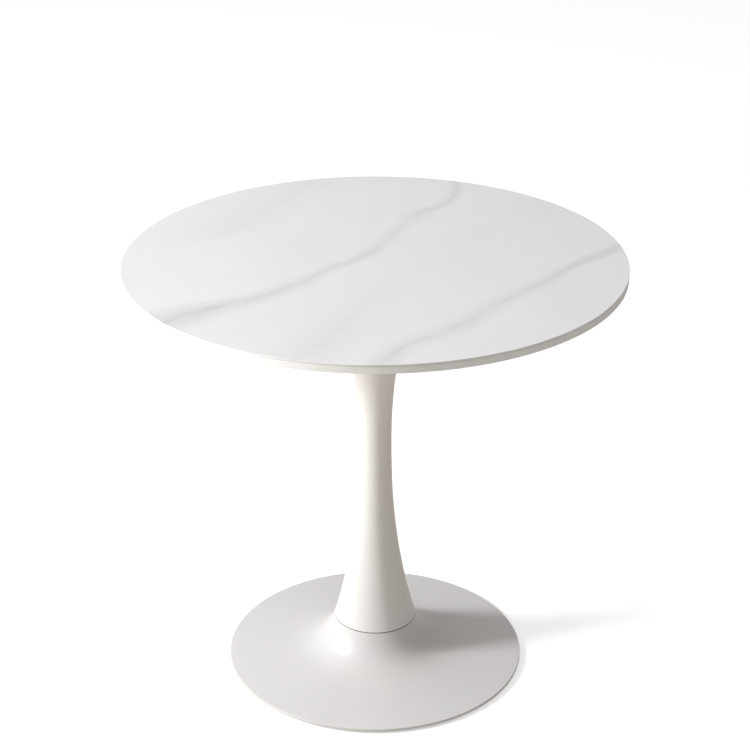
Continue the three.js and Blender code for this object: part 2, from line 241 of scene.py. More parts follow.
# A vein's parts: how many half-widths each is across, and how strong it is
HAZE_EDGE, HAZE_STRENGTH = 1.3, 0.62
THREAD_EDGE, THREAD_STRENGTH = 0.34, 0.5


def vein(tree, place, route, fray, breaks):
    """How strongly one vein shows, from 0 to 1: a soft haze with a finer, broken thread in it."""
    start = Vector(route[0][:2]) * MM
    along = Vector(route[-1][:2]) * MM - start
    length = along.length
    along.normalize()
    across = Vector((-along.y, along.x))
    spots = [Vector(spot[:2]) * MM - start for spot in route]
    local = add(tree, VECTOR_MATHS, {0: place, 1: (*start, 0)}, operation="SUBTRACT")
    forward = add(tree, VECTOR_MATHS, {0: local, 1: (*along, 0)}, operation="DOT_PRODUCT")
    sideways = add(tree, VECTOR_MATHS, {0: local, 1: (*across, 0)}, operation="DOT_PRODUCT")
    share = add(tree, MATHS, {0: forward, 1: length}, operation="DIVIDE")

    def along_route(values):
        """A smooth run through one value from 0 to 1 for each spot of the route."""
        made = add(tree, "ShaderNodeFloatCurve", {"Value": share})
        points = [(spot.dot(along) / length, value) for spot, value in zip(spots, values)]
        curve = made.mapping.curves[0]
        curve.points[0].location = points[0]
        curve.points[1].location = points[-1]
        for point in points[1:-1]:
            curve.points.new(*point)
        made.mapping.update()
        return made

    bend = along_route([0.5 + spot.dot(across) / (2 * VEIN_REACH) for spot in spots])
    middle = add(tree, RANGE, {"Value": bend, "To Min": -VEIN_REACH, "To Max": VEIN_REACH})
    width = along_route([spot[2] * MM / VEIN_WIDEST for spot in route])
    width = add(tree, MATHS, {0: width, 1: VEIN_WIDEST}, operation="MULTIPLY")
    strength = along_route([spot[3] for spot in route])
    off = add(tree, MATHS, {0: sideways, 1: middle}, operation="SUBTRACT")
    off = add(tree, MATHS, {0: off, 1: fray}, operation="ADD")
    off = add(tree, MATHS, {0: off}, operation="ABSOLUTE")
    off = add(tree, MATHS, {0: off, 1: width}, operation="DIVIDE")
    fade = {"Value": off, "To Min": 1.0, "To Max": 0.0}
    haze = add(tree, RANGE, {**fade, "From Max": HAZE_EDGE}, interpolation_type="SMOOTHERSTEP")
    haze = add(tree, MATHS, {0: haze, 1: HAZE_STRENGTH}, operation="MULTIPLY")
    thread = add(tree, RANGE, {**fade, "From Max": THREAD_EDGE}, interpolation_type="SMOOTHERSTEP")
    thread = add(tree, MATHS, {0: thread, 1: breaks}, operation="MULTIPLY")
    thread = add(tree, MATHS, {0: thread, 1: THREAD_STRENGTH}, operation="MULTIPLY")
    both = add(tree, MATHS, {0: haze, 1: thread}, operation="ADD")
    return add(tree, MATHS, {0: both, 1: strength}, operation="MULTIPLY")


# Materials


def sintered_stone(colour, vein_colour, vein_strength):
    """Sintered stone: pressed and fired mineral powder under a printed, satin-polished face.
    It gives the eye an even cool white with soft grey veins, and a silky, not glassy, reflection."""
    material, tree, place = new_material("sintered_stone_satin")
    # The veins stray by 9 mm over 70 mm and by 2.5 mm over 9 mm, and their threads break every 45 mm
    wander = add(tree, NOISE, {"Vector": place, "Scale": per_mm(70), "Detail": 3})
    wander = add(tree, RANGE, {"Value": wander, "To Min": -9 * MM, "To Max": 9 * MM})
    ripple = add(tree, NOISE, {"Vector": place, "Scale": per_mm(9), "Detail": 3, "Roughness": 0.6})
    ripple = add(tree, RANGE, {"Value": ripple, "To Min": -2.5 * MM, "To Max": 2.5 * MM})
    fray = add(tree, MATHS, {0: wander, 1: ripple}, operation="ADD")
    breaks = add(tree, NOISE, {"Vector": place, "Scale": per_mm(45), "Detail": 3})
    breaks = add(tree, RANGE, {"Value": breaks, "From Min": 0.38, "From Max": 0.62})
    veins = vein(tree, place, VEINS[0], fray, breaks)
    for route in VEINS[1:]:
        another = vein(tree, place, route, fray, breaks)
        veins = add(tree, MATHS, {0: veins, 1: another}, operation="MAXIMUM")
    veins = add(tree, MATHS, {0: veins, 1: vein_strength}, operation="MULTIPLY")
    clouds = add(tree, NOISE, {"Vector": place, "Scale": per_mm(180), "Detail": 3, "Roughness": 0.55})
    clouds = add(tree, RANGE, {"Value": clouds, "From Min": 0.35, "From Max": 0.65})
    ground = {FACTOR: clouds, FIRST: opaque(colour, 0.975), SECOND: opaque(colour)}
    ground = add(tree, MIX, ground, data_type="RGBA")
    face = add(tree, MIX, {FACTOR: veins, FIRST: ground, SECOND: opaque(vein_colour)}, data_type="RGBA")
    # The polish varies over a hand's width, as the polishing heads pass
    polish = add(tree, NOISE, {"Vector": place, "Scale": per_mm(60)})
    polish = add(tree, RANGE, {"Value": polish, "To Min": 0.3, "To Max": 0.36})
    return finish_material(material, tree, Base_Color=face, Roughness=polish, IOR=1.54)


def abs_edging(colour):
    """ABS edge band: extruded plastic strip, so faint lines run along it, with a satin shine."""
    material, tree, place = new_material("abs_edging_extruded")
    # Die lines are about 0.1 mm apart, and are drawn at 0.5 mm so that they show
    strip = add(tree, VECTOR_MATHS, {0: place, 1: (0.02, 0.02, 1.0)}, operation="MULTIPLY")
    lines = add(tree, NOISE, {"Vector": strip, "Scale": per_mm(0.5), "Detail": 3, "Roughness": 0.6})
    tone = add(tree, NOISE, {"Vector": place, "Scale": per_mm(90)})
    tone = add(tree, RANGE, {"Value": tone, "From Min": 0.3, "From Max": 0.7})
    strip_colour = {FACTOR: tone, FIRST: opaque(colour, 0.97), SECOND: opaque(colour)}
    base = add(tree, MIX, strip_colour, data_type="RGBA")
    drawn = add(tree, BUMP, {"Height": lines, "Distance": 0.012 * MM})
    gloss = add(tree, RANGE, {"Value": lines, "To Min": 0.38, "To Max": 0.48})
    return finish_material(material, tree, Base_Color=base, Roughness=gloss, IOR=1.52, Normal=drawn)


def melamine_backing(colour):
    """Melamine sheet: paper pressed in resin against a pearled plate.
    It gives the eye a finely pebbled, even white."""
    material, tree, place = new_material("melamine_backing_pearled")
    pearls = add(tree, NOISE, {"Vector": place, "Scale": per_mm(1.1), "Roughness": 0.55})
    tone = add(tree, NOISE, {"Vector": place, "Scale": per_mm(160)})
    sheet = {FACTOR: tone, FIRST: opaque(colour, 0.96), SECOND: opaque(colour)}
    base = add(tree, MIX, sheet, data_type="RGBA")
    pebbled = add(tree, BUMP, {"Height": pearls, "Distance": 0.03 * MM})
    gloss = add(tree, RANGE, {"Value": pearls, "To Min": 0.42, "To Max": 0.55})
    return finish_material(material, tree, Base_Color=base, Roughness=gloss, IOR=1.5, Normal=pebbled)


def fibreboard():
    """Medium-density fibreboard: wood fibre pressed with glue. The eye sees a matt, speckled brown."""
    material, tree, place = new_material("fibreboard_pressed")
    fibres = add(tree, NOISE, {"Vector": place, "Scale": per_mm(2.5), "Detail": 4, "Roughness": 0.65})
    shades = add(tree, RANGE, {"Value": fibres, "From Min": 0.3, "From Max": 0.7})
    wood = {FACTOR: shades, FIRST: opaque(linear("8F6C45")), SECOND: opaque(linear("BE9A6C"))}
    base = add(tree, MIX, wood, data_type="RGBA")
    fuzz = add(tree, NOISE, {"Vector": place, "Scale": per_mm(0.6)})
    fuzz = add(tree, BUMP, {"Height": fuzz, "Distance": 0.04 * MM})
    return finish_material(material, tree, Base_Color=base, Roughness=0.9, IOR=1.5, Normal=fuzz)


def powder_coating(colour, roughness):
    """Powder-coated steel: white powder melted on. It gives the eye a satin shine, a faint orange
    peel and a few pinhead specks."""
    material, tree, place = new_material("powder_coating_satin_white")
    tone = add(tree, NOISE, {"Vector": place, "Scale": per_mm(150)})
    tone = add(tree, RANGE, {"Value": tone, "From Min": 0.3, "From Max": 0.7})
    coat = {FACTOR: tone, FIRST: opaque(colour, 0.985), SECOND: opaque(colour)}
    base = add(tree, MIX, coat, data_type="RGBA")
    specks = add(tree, NOISE, {"Vector": place, "Scale": per_mm(1), "Detail": 1})
    specks = add(tree, RANGE, {"Value": specks, "From Min": 0.66, "From Max": 0.8, "To Max": 0.12})
    base = add(tree, MIX, {FACTOR: specks, FIRST: base, SECOND: opaque(colour, 0.8)}, data_type="RGBA")
    peel = add(tree, NOISE, {"Vector": place, "Scale": per_mm(3.2), "Detail": 1.5})
    peel = add(tree, BUMP, {"Height": peel, "Distance": 0.012 * MM})
    # Grains of powder are about 0.05 mm across, and are drawn at 0.7 mm so that they show
    grain = add(tree, NOISE, {"Vector": place, "Scale": per_mm(0.7), "Detail": 1})
    grain = add(tree, BUMP, {"Height": grain, "Distance": 0.002 * MM, "Normal": peel})
    gloss = add(tree, NOISE, {"Vector": place, "Scale": per_mm(40)})
    gloss = add(tree, RANGE, {"Value": gloss, "To Min": roughness - 0.03, "To Max": roughness + 0.03})
    return finish_material(material, tree, Base_Color=base, Roughness=gloss, IOR=1.5, Normal=grain)


def zinc_plated_steel():
    """Zinc-plated steel: turned or pressed, then plated. The eye sees a bright, cloudy grey."""
    material, tree, place = new_material("zinc_plated_steel")
    clouds = add(tree, NOISE, {"Vector": place, "Scale": per_mm(6), "Detail": 3})
    plating = {FACTOR: clouds, FIRST: opaque(linear("B4B8BE")), SECOND: opaque(linear("D2D3D2"))}
    base = add(tree, MIX, plating, data_type="RGBA")
    gloss = add(tree, RANGE, {"Value": clouds, "To Min": 0.3, "To Max": 0.42})
    # Handling scratches are about 0.05 mm wide, and are drawn at 0.4 mm so that they show
    scratches = add(tree, NOISE, {"Vector": place, "Scale": per_mm(0.4), "Detail": 4, "Roughness": 0.7})
    worn = add(tree, BUMP, {"Height": scratches, "Distance": 0.006 * MM})
    return finish_material(material, tree, Base_Color=base, Metallic=1.0, Roughness=gloss, Normal=worn)


def turned_brass():
    """Brass: turned from bar. The eye sees a warm yellow with fine tool rings."""
    material, tree, place = new_material("brass_turned")
    # Tool rings are about 0.1 mm apart, and are drawn at 0.25 mm so that they show
    bar = add(tree, VECTOR_MATHS, {0: place, 1: (0.05, 0.05, 1.0)}, operation="MULTIPLY")
    rings = add(tree, NOISE, {"Vector": bar, "Scale": per_mm(0.25)})
    tarnish = add(tree, NOISE, {"Vector": place, "Scale": per_mm(4)})
    yellows = {FACTOR: tarnish, FIRST: opaque(linear("C8A24E")), SECOND: opaque(linear("DDBD6F"))}
    base = add(tree, MIX, yellows, data_type="RGBA")
    tooled = add(tree, BUMP, {"Height": rings, "Distance": 0.01 * MM})
    return finish_material(material, tree, Base_Color=base, Metallic=1.0, Roughness=0.32, Normal=tooled)


def cast_iron():
    """Cast iron in black primer: sand-cast. The eye sees a matt black, rough like fine gravel."""
    material, tree, place = new_material("cast_iron_primed")
    sand = add(tree, NOISE, {"Vector": place, "Scale": per_mm(1.6), "Detail": 4, "Roughness": 0.6})
    primer = {FACTOR: sand, FIRST: opaque(linear("26282A")), SECOND: opaque(linear("3E4042"))}
    base = add(tree, MIX, primer, data_type="RGBA")
    swell = add(tree, NOISE, {"Vector": place, "Scale": per_mm(22)})
    swell = add(tree, BUMP, {"Height": swell, "Distance": 0.5 * MM})
    cast = add(tree, BUMP, {"Height": sand, "Distance": 0.25 * MM, "Normal": swell})
    gloss = add(tree, RANGE, {"Value": sand, "To Min": 0.62, "To Max": 0.85})
    return finish_material(material, tree, Base_Color=base, Roughness=gloss, IOR=1.5, Normal=cast)


def moulded_rubber():
    """EPDM rubber: moulded. The eye sees a matt dark grey with a faint bloom."""
    material, tree, place = new_material("epdm_rubber_moulded")
    bloom = add(tree, NOISE, {"Vector": place, "Scale": per_mm(12), "Detail": 3})
    bloom = add(tree, RANGE, {"Value": bloom, "From Min": 0.3, "From Max": 0.7})
    greys = {FACTOR: bloom, FIRST: opaque(linear("46443F")), SECOND: opaque(linear("5C5952"))}
    base = add(tree, MIX, greys, data_type="RGBA")
    skin = add(tree, NOISE, {"Vector": place, "Scale": per_mm(0.5)})
    skin = add(tree, BUMP, {"Height": skin, "Distance": 0.02 * MM})
    return finish_material(material, tree, Base_Color=base, Roughness=0.8, IOR=1.5, Normal=skin)


def moulded_nylon():
    """Nylon: injection moulded. The eye sees black with the fine grain of a spark-eroded mould."""
    material, tree, place = new_material("nylon_moulded")
    tone = add(tree, NOISE, {"Vector": place, "Scale": per_mm(15)})
    blacks = {FACTOR: tone, FIRST: opaque(linear("1E1E1F")), SECOND: opaque(linear("2C2C2D"))}
    base = add(tree, MIX, blacks, data_type="RGBA")
    # The mould's grain is about 0.1 mm across, and is drawn at 0.45 mm so that it shows
    grain = add(tree, NOISE, {"Vector": place, "Scale": per_mm(0.45)})
    skin = add(tree, BUMP, {"Height": grain, "Distance": 0.03 * MM})
    gloss = add(tree, RANGE, {"Value": grain, "To Min": 0.45, "To Max": 0.6})
    return finish_material(material, tree, Base_Color=base, Roughness=gloss, IOR=1.53, Normal=skin)


@functools.cache
def made_once(make, *values):
    """A material made by a function, kept for the next piece that asks for it."""
    return make(*values)


# Outlines: lists of (radius, height) in metres, anticlockwise with the axis on the left


def softened(outline, setback, closed=True, steps=4):
    """The outline with its sharp corners rounded off, and a support point beside each."""
    sharp = math.radians(20)
    made = []
    for i, (radius, height) in enumerate(outline):
        if not closed and i in (0, len(outline) - 1):
            made.append((radius, height))
            continue
        here = Vector((radius, height))
        back = Vector(outline[i - 1]) - here
        ahead = Vector(outline[(i + 1) % len(outline)]) - here
        if (-back).angle(ahead) < sharp:
            made.append((radius, height))
            continue
        reach = min(setback, 0.3 * back.length, 0.3 * ahead.length)
        first = here + back.normalized() * reach
        last = here + ahead.normalized() * reach
        made.append(tuple(here + back.normalized() * reach * 1.5))
        for step in range(steps + 1):
            t = step / steps
            made.append(tuple(first * (1 - t) ** 2 + here * 2 * t * (1 - t) + last * t * t))
        made.append(tuple(here + ahead.normalized() * reach * 1.5))
    return made


def band_outline(inner, outer, bottom, top):
    """A ring's square outline."""
    return [(inner, bottom), (outer, bottom), (outer, top), (inner, top)]


def hexagon(flats):
    """The radius of a hexagon, by angle."""

    def radius(angle):
        return flats / 2 / math.cos((angle % (math.pi / 3)) - math.pi / 6)

    return radius


def chamfered_hexagon(flats, corner_circle):
    """The radius of a hexagon turned down to a circle, by angle."""
    flat = hexagon(flats)

    def radius(angle):
        return min(flat(angle), corner_circle)

    return radius


def thread(core, crest, pitch, height):
    """The radius of a right-hand thread at a height, by angle."""

    def radius(angle):
        turn = (height / pitch - angle / (2 * math.pi)) % 1
        share = 1.5 * (1 - abs(2 * turn - 1)) - 0.25
        return core + (crest - core) * min(1.0, max(0.0, share))

    return radius


def threaded_stretch(core, crest, pitch, start, end):
    """The points of a thread between two heights, which may run up or down."""
    steps = max(2, round(abs(end - start) / pitch * 6))
    heights = [start + (end - start) * i / steps for i in range(steps + 1)]
    return [(thread(core, crest, pitch, height), height) for height in heights]


# Meshes


def turned(name, outline, facets, centre=(0, 0), slit=0):
    """A turned solid: an outline goes round a vertical axis, closed on itself or on that axis.
    A radius may be a function of the angle. A slit leaves out some facets and closes the ends."""
    verts = []
    rings = []
    count = facets + 1 if slit else facets
    span = 2 * math.pi * (1 - slit / facets) if slit else 2 * math.pi
    for radius, height in outline:
        if radius == 0:
            rings.append([len(verts)] * count)
            verts.append((*centre, height))
            continue
        rings.append([len(verts) + i for i in range(count)])
        for i in range(count):
            angle = span * i / facets
            reach = radius(angle) if callable(radius) else radius
            verts.append((centre[0] + reach * math.cos(angle), centre[1] + reach * math.sin(angle), height))
    on_axis = outline[0][0] == 0
    pairs = list(zip(rings, rings[1:])) + ([] if on_axis else [(rings[-1], rings[0])])
    faces = []
    for low, high in pairs:
        for i in range(facets):
            j = i + 1 if slit else (i + 1) % facets
            corners = [low[i], low[j], high[j], high[i]]
            faces.append([v for k, v in enumerate(corners) if v not in corners[:k]])
    if slit:
        faces.append([ring[0] for ring in rings])
        faces.append([ring[-1] for ring in reversed(rings)])
    return mesh_of(name, verts, faces)


def drilled_disc(name, radius, bottom, top, holes, facets, chamfer):
    """A flat disc with round holes, each (x, y, radius), and a small chamfer on every edge."""
    verts = []
    faces = []

    def loop(x, y, reach, height, count):
        ring = [len(verts) + i for i in range(count)]
        for i in range(count):
            angle = 2 * math.pi * i / count
            verts.append((x + reach * math.cos(angle), y + reach * math.sin(angle), height))
        return ring

    def wall(x, y, reach, edge, count, outward):
        heights = (bottom, bottom + chamfer, top - chamfer, top)
        radii = (reach + edge, reach, reach, reach + edge)
        rings = [loop(x, y, r, z, count) for r, z in zip(radii, heights)]
        for low, high in zip(rings, rings[1:]):
            for i in range(count):
                j = (i + 1) % count
                face = [low[i], low[j], high[j], high[i]]
                faces.append(face if outward else face[::-1])
        return rings[0], rings[-1]

    walls = [wall(0, 0, radius, -chamfer, facets, True)]
    walls += [wall(x, y, reach, chamfer, SMALL, False) for x, y, reach in holes]
    for side in (0, 1):
        rims = [w[side] for w in walls]
        flat = [v for rim in rims for v in rim]
        for triangle in tessellate_polygon([[Vector(verts[v]) for v in rim] for rim in rims]):
            corners = [flat[k] for k in triangle]
            a, b, c = (Vector(verts[v]) for v in corners)
            faces_up = (b - a).cross(c - a).z > 0
            faces.append(corners if faces_up == (side == 1) else corners[::-1])
    return mesh_of(name, verts, faces)


def mesh_of(name, verts, faces):
    """A smooth-shaded mesh whose sharp edges stay sharp."""
    mesh = bpy.data.meshes.new(name)
    mesh.from_pydata(verts, [], faces)
    mesh.validate()
    mesh.shade_smooth()
    mesh.set_sharp_from_angle(angle=math.radians(32))
    return mesh


def piece(name, mesh, material, body, slot, *nodes):
    """A finished piece that rides on a body and stands for CAD nodes."""
    made = bpy.data.objects.new(name, mesh)
    bpy.context.scene.collection.objects.link(made)
    mesh.materials.append(material)
    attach(made, body)
    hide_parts(*nodes)
    return made


def refinish(node, material):
    """A CAD node keeps its shape and gets a finished material."""
    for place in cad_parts[node].material_slots:
        place.material = material


def centre_of(node):
    """The middle of a CAD node, seen from above."""
    low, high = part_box(node)
    return ((low.x + high.x) / 2, (low.y + high.y) / 2)


@functools.cache
def heights_of(node):
    """The lowest and highest point of a CAD node."""
    low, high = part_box(node)
    return low.z, high.z


@functools.cache
def radius_of(node):
    """Half the width of a round CAD node that stands on its own axis."""
    low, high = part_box(node)
    return (high.x - low.x) / 2


@functools.cache
def radii_at(node, height):
    """The smallest and largest radius of a CAD node's corners at a height."""
    near = [v.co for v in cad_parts[node].data.vertices if abs(v.co.z - height) < 0.05 * MM]
    radii = [math.hypot(co.x, co.y) for co in near]
    return min(radii), max(radii)


def numbered(prefix):
    """The CAD nodes of a numbered row, in order."""
    return sorted(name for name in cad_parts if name.startswith(prefix))


# Settings


class TopSettings(bpy.types.PropertyGroup):
    """Sizes and colours of the top."""

    edge_rounding: FloatProperty(
        name="Slab edge rounding", description="How far the stone's edges are eased",
        default=0.6 * MM, min=0.1 * MM, max=1.2 * MM, unit="LENGTH",
    )
    stone_colour: FloatVectorProperty(
        name="Stone colour", description="Ground colour of the stone face",
        subtype="COLOR", default=linear("F2F1F1"), min=0, max=1,
    )
    vein_colour: FloatVectorProperty(
        name="Vein colour", description="Colour at the middle of a vein",
        subtype="COLOR", default=linear("A9A7AB"), min=0, max=1,
    )
    vein_strength: FloatProperty(
        name="Vein strength", description="How strongly the veins show",
        default=0.42, min=0, max=1, subtype="FACTOR",
    )
    edging_colour: FloatVectorProperty(
        name="Edging colour", description="Colour of the edge band and the backing sheet",
        subtype="COLOR", default=linear("FBFBFA"), min=0, max=1,
    )


class MetalSettings(bpy.types.PropertyGroup):
    """Finish of the column, the base and the plate."""

    coating_colour: FloatVectorProperty(
        name="Coating colour", description="Colour of the powder coating",
        subtype="COLOR", default=linear("ECEBE9"), min=0, max=1,
    )
    # Painted shade: the base's coating is the column's white made a little greyer, for the dimmer light
    # under the top
    base_painted_shade_colour: FloatVectorProperty(
        name="Base colour", description="Colour of the coating on the base",
        subtype="COLOR", default=linear("DFDEDD"), min=0, max=1,
    )
    coating_roughness: FloatProperty(
        name="Coating roughness", description="Lower is shinier",
        default=0.34, min=0.05, max=1, subtype="FACTOR",
    )
    edge_rounding: FloatProperty(
        name="Metal edge rounding", description="How far the sheet metal's edges are eased",
        default=0.9 * MM, min=0.1 * MM, max=1.4 * MM, unit="LENGTH",
    )


class StudioSettings(bpy.types.PropertyGroup):
    """Light round the table."""

    key_elevation: FloatProperty(
        name="Key height", description="Angle of the main light above the floor",
        default=math.radians(28), min=0, max=math.pi / 2, unit="ROTATION",
    )
    key_azimuth: FloatProperty(
        name="Key side", description="Angle of the main light from straight left towards the front",
        default=math.radians(14), min=-math.pi, max=math.pi, unit="ROTATION",
    )
    key_distance: FloatProperty(
        name="Key distance", description="How far the main light stands from the table",
        default=4.0, min=1, unit="LENGTH",
    )
    key_power: FloatProperty(
        name="Key power", description="Strength of the main light",
        default=160.0, min=0, unit="POWER",
    )


def coating():
    """The white coating that the column, base and plate share; the base gets a greyer copy of it, with
    painted shade.
    """
    settings = bpy.context.scene.table_metal
    return made_once(powder_coating, tuple(settings.coating_colour), settings.coating_roughness)


def shaded_base_coating():
    """The column's coating made a little greyer for the base: painted shade for the dimmer light under the
    top.
    """
    settings = bpy.context.scene.table_metal
    return made_once(powder_coating, tuple(settings.base_painted_shade_colour), settings.coating_roughness)


# Operators


class TABLE_OT_stone_slab(bpy.types.Operator):
    """Make the stone slab with its veins"""

    bl_idname = "table.stone_slab"
    bl_label = "Stone slab"

    def execute(self, context):
        settings = context.scene.table_top
        colours = tuple(settings.stone_colour), tuple(settings.vein_colour)
        stone = made_once(sintered_stone, *colours, settings.vein_strength)
        bottom, top = heights_of("top_slab")
        edge = radius_of("top_slab")
        outline = [(0, bottom), (edge, bottom), (edge, top), (0, top)]
        slab = turned("stone_slab", softened(outline, settings.edge_rounding, False), WIDE)
        piece("stone_slab", slab, stone, "table", "stone_top", "top_slab")
        return {"FINISHED"}


class TABLE_OT_board_and_edging(bpy.types.Operator):
    """Make the board under the slab, its edge band and its backing sheet"""

    bl_idname = "table.board_and_edging"
    bl_label = "Board and edging"

    def execute(self, context):
        settings = context.scene.table_top
        bottom, top = heights_of("edge_band")
        outer = radius_of("edge_band")
        inner = radii_at("edge_band", top)[0]
        outline = softened(band_outline(inner, outer, bottom, top), BAND_ROUNDING)
        edging = made_once(abs_edging, tuple(settings.edging_colour))
        band = turned("edge_banding", outline, WIDE)
        piece("edge_banding", band, edging, "table", "edging", "edge_band")
        backing = made_once(melamine_backing, tuple(settings.edging_colour))
        holes = [(*centre_of(name), INSERT_HOLE) for name in numbered("thread_insert_")]
        bottom, top = heights_of("backing_sheet")
        edge = radius_of("backing_sheet")
        sheet = drilled_disc("backing_laminate", edge, bottom, top, holes, WIDE, SHEET_CHAMFER)
        piece("backing_laminate", sheet, backing, "table", "edging", "backing_sheet")
        refinish("core_board", made_once(fibreboard))
        return {"FINISHED"}


class TABLE_OT_top_fixings(bpy.types.Operator):
    """Make the steel plate under the top, with its screws, inserts, collar and welded nut"""

    bl_idname = "table.top_fixings"
    bl_label = "Top fixings"

    def execute(self, context):
        zinc = made_once(zinc_plated_steel)
        screws = numbered("plate_screw_")
        holes = [(*centre_of(name), SCREW_HOLE) for name in screws] + [(0, 0, ROD_HOLE)]
        bottom, top = heights_of("top_plate")
        edge = radius_of("top_plate")
        plate = drilled_disc("mounting_plate", edge, bottom, top, holes, MIDDLE, PLATE_CHAMFER)
        piece("mounting_plate", plate, coating(), "table", "white_coating", "top_plate")
        for number, node in enumerate(screws, 1):
            name = f"button_screw_{number}"
            piece(name, self.button_screw(name, node), zinc, "table", "zinc_steel", node)
        for node in numbered("thread_insert_"):
            refinish(node, made_once(turned_brass))
        refinish("rod_weld_nut", zinc)
        refinish("plate_collar", coating())
        return {"FINISHED"}

    def button_screw(self, name, node):
        """An M6 button-head screw with a 4 mm hexagonal socket: a domed head on a short rim."""
        low, high = heights_of(node)
        edge = radius_of(node)
        head, rim = 3.2 * MM, 0.8 * MM
        seat = low + head
        socket = hexagon(KEY_FLATS)
        turns = [math.radians(30 + 10 * i) for i in range(7)]
        dome = [(edge * math.sin(t), seat - rim - (head - rim) * math.cos(t)) for t in turns]
        outline = [(0, low + 2.1 * MM), (socket, low + 2 * MM), (socket, dome[0][1])]
        outline += dome + [(edge, seat), (M6[1], seat)]
        outline += threaded_stretch(*M6, seat + 0.5 * MM, high - 0.6 * MM)
        outline += [(M6[0] - 0.1 * MM, high), (0, high)]
        return turned(name, outline, SMALL, centre_of(node))


def column_radius(height):
    """The column's outer radius at a height: a waist that flares to the foot and to the head."""
    bottom, top = heights_of("column_shell")
    end = bottom if height < WAIST_HEIGHT else top
    power = FOOT_FLARE_POWER if height < WAIST_HEIGHT else HEAD_FLARE_POWER
    flare = radii_at("column_shell", end)[1] - WAIST_RADIUS
    return WAIST_RADIUS + flare * ((height - WAIST_HEIGHT) / (end - WAIST_HEIGHT)) ** power


class TABLE_OT_column(bpy.types.Operator):
    """Make the trumpet column, its gaskets, its discs and the tie rod inside it"""

    bl_idname = "table.column"
    bl_label = "Column"

    def execute(self, context):
        bottom, top = heights_of("column_shell")
        zinc = made_once(zinc_plated_steel)
        rubber = made_once(moulded_rubber)
        steps = 72
        heights = [bottom + (top - bottom) * i / steps for i in range(steps + 1)]
        outside = [(column_radius(height), height) for height in heights]
        inside = [(radius - COLUMN_WALL, height) for radius, height in outside[::-2]]
        outline = softened(outside + inside, context.scene.table_metal.edge_rounding)
        tube = turned("column_tube", outline, MIDDLE)
        piece("column_tube", tube, coating(), "table", "white_coating", "column_shell")
        for name, node in (("head_joint_gasket", "head_gasket"), ("neck_joint_gasket", "neck_gasket")):
            low, high = heights_of(node)
            inner, outer = radii_at(node, low)
            outline = softened(band_outline(inner, outer, low, high), GASKET_ROUNDING)
            piece(name, turned(name, outline, MIDDLE), rubber, "table", "rubber", node)
        piece("threaded_tie_rod", self.tie_rod(), zinc, "table", "zinc_steel", "tie_rod")
        refinish("column_head_disc", zinc)
        refinish("column_foot_disc", zinc)
        return {"FINISHED"}

    def tie_rod(self):
        """An M12 rod with threads cut on both ends and a bare stretch between them."""
        low, high = heights_of("tie_rod")
        tip = M12[0] - 0.3 * MM
        bare = M12[1] - 0.1 * MM
        cone = 1.2 * MM
        lower_end, upper_start = low + 42 * MM, high - 30 * MM
        outline = [(0, low), (tip, low)]
        outline += threaded_stretch(*M12, low + cone, lower_end)
        outline += [(bare, lower_end + 1 * MM), (bare, upper_start - 1 * MM)]
        outline += threaded_stretch(*M12, upper_start, high - cone)
        outline += [(tip, high), (0, high)]
        return turned("threaded_tie_rod", outline, SMALL // 2)


@functools.cache
def neck_radius():
    """The radius of the base's neck, where the column stands."""
    return radii_at("base_shell", heights_of("base_shell")[1])[1]


def shell_point(radius, sink):
    """A point of the base's upper surface at a radius, sunk along the surface's normal."""
    edge = radius_of("base_shell")
    width = edge - neck_radius()
    rise = heights_of("base_shell")[1] - RIM_HEIGHT - SKIRT_SLOPE * width
    share = (edge - radius) / width
    height = RIM_HEIGHT + SKIRT_SLOPE * (edge - radius) + rise * share**NECK_FLARE_POWER
    slope = -SKIRT_SLOPE - rise / width * NECK_FLARE_POWER * share ** (NECK_FLARE_POWER - 1)
    length = math.hypot(1, slope)
    return radius + sink * slope / length, height - sink / length


def shell_curve(start, end, steps, sink):
    """The base's surface from one radius out to another, with more points near the neck."""
    crowding = 1.6
    return [shell_point(start + (end - start) * (i / steps) ** crowding, sink) for i in range(steps + 1)]


def shell_curve_below(ceiling, end, steps, sink):
    """The sunken surface from a ceiling outwards."""
    points = shell_curve(neck_radius(), end, steps, sink)
    first = next(i for i, point in enumerate(points) if point[1] < ceiling)
    above, below = points[first - 1], points[first]
    share = (above[1] - ceiling) / (above[1] - below[1])
    return [(above[0] + (below[0] - above[0]) * share, ceiling)] + points[first:]


